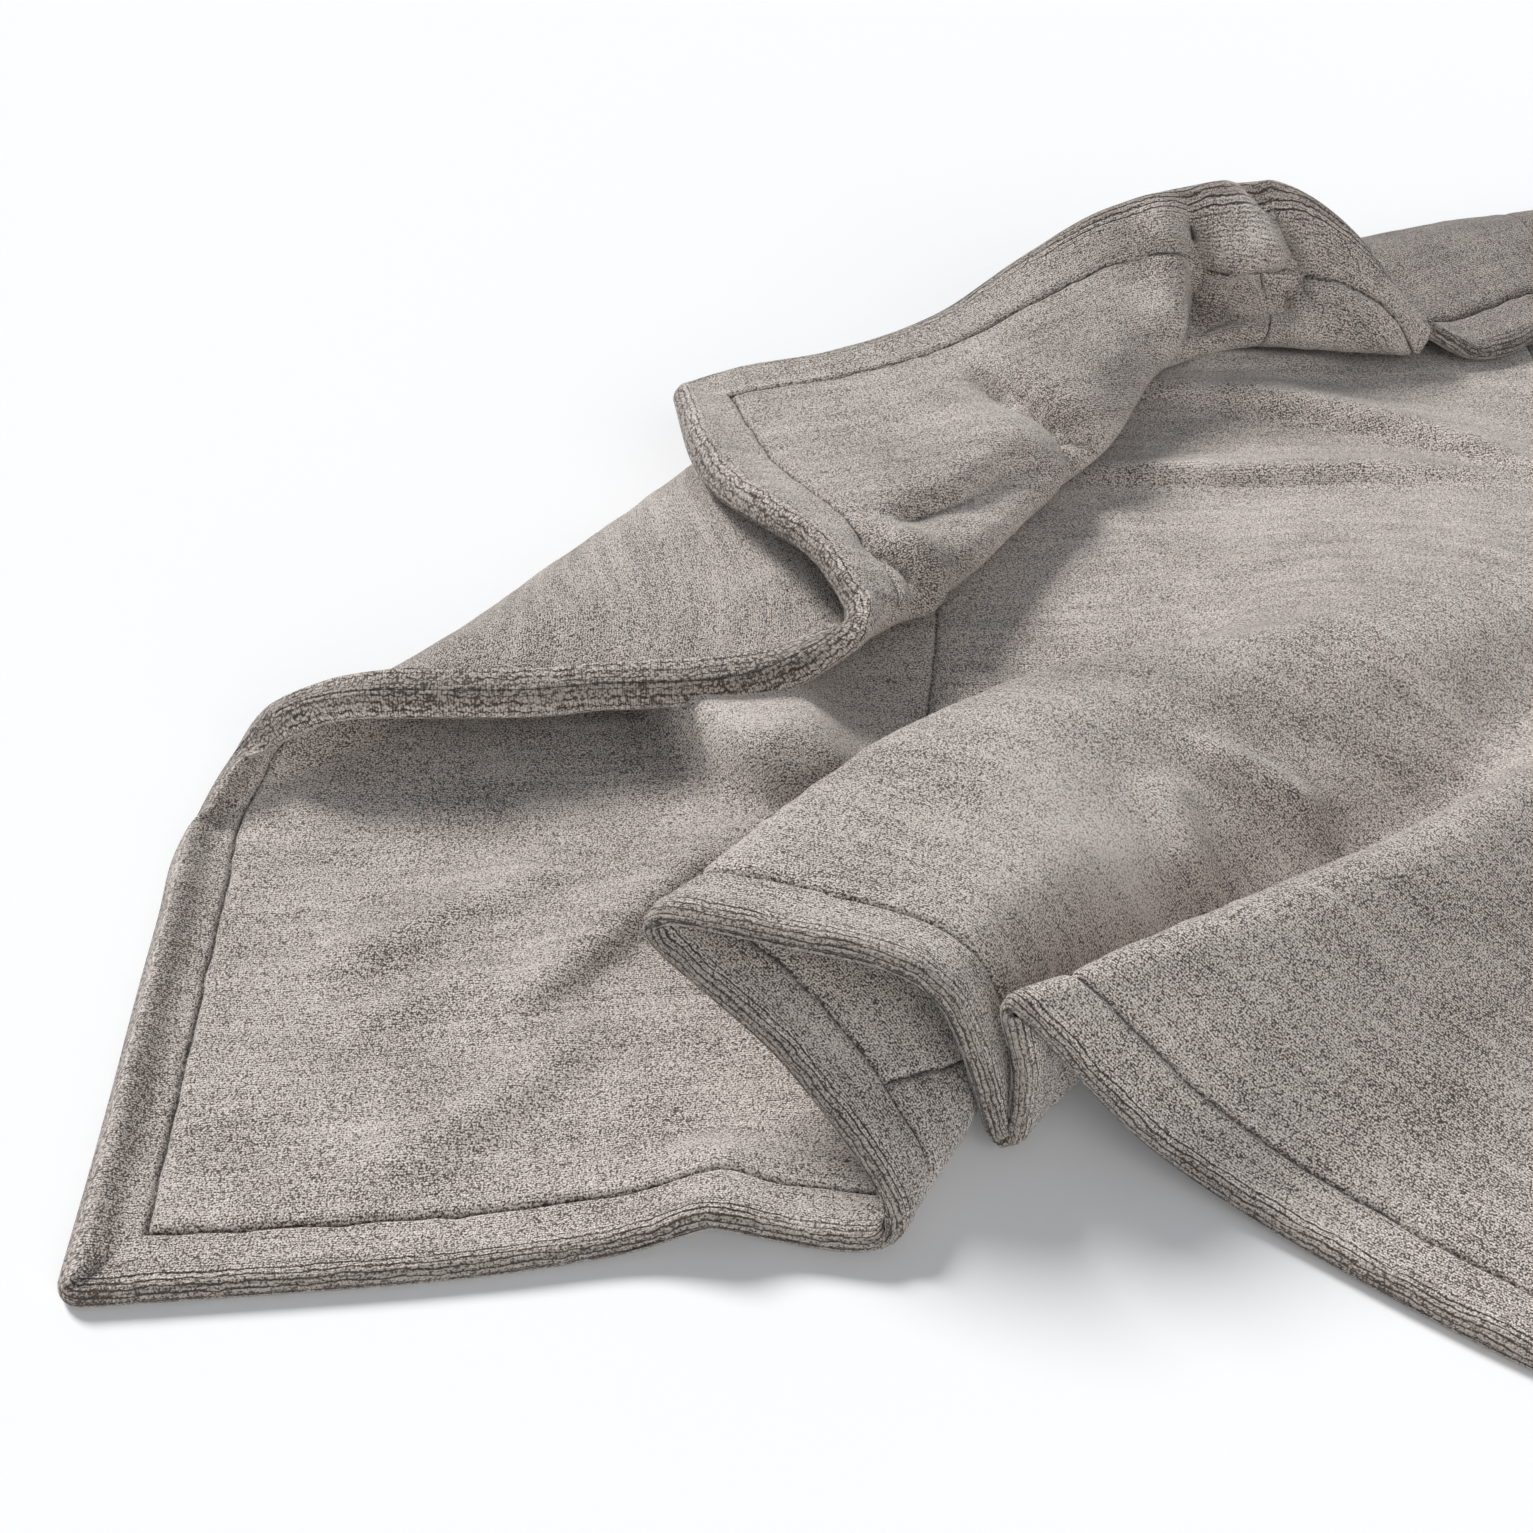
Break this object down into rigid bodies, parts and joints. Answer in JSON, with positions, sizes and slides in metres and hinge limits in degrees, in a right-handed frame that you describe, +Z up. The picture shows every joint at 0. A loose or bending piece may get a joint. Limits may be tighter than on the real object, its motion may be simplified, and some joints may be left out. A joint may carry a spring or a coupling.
{
  "type": "drying towel",
  "caption": "Grey microfibre loop-pile drying towel lying loosely folded, with sewn border and cross stitching.",
  "frame": {"origin": "on the surface that the towel lies on, under the middle of its outline", "axes": "+Z up, +X along the towel's long side, +Y from the near edge to the folded far edge"},
  "size_m": [0.9048, 0.751, 0.085],
  "materials": {
    "face_pile": "matte",
    "back_pile": "matte",
    "thread": "satin"
  },
  "bodies": {
    "root": {"face_panel": "face_pile", "back_panel": "back_pile", "edge_seam_thread": "thread", "border_needle_thread": "thread", "border_bobbin_thread": "thread", "first_cross_needle_thread": "thread", "first_cross_bobbin_thread": "thread", "second_cross_needle_thread": "thread", "second_cross_bobbin_thread": "thread"}
  },
  "joints": []
}
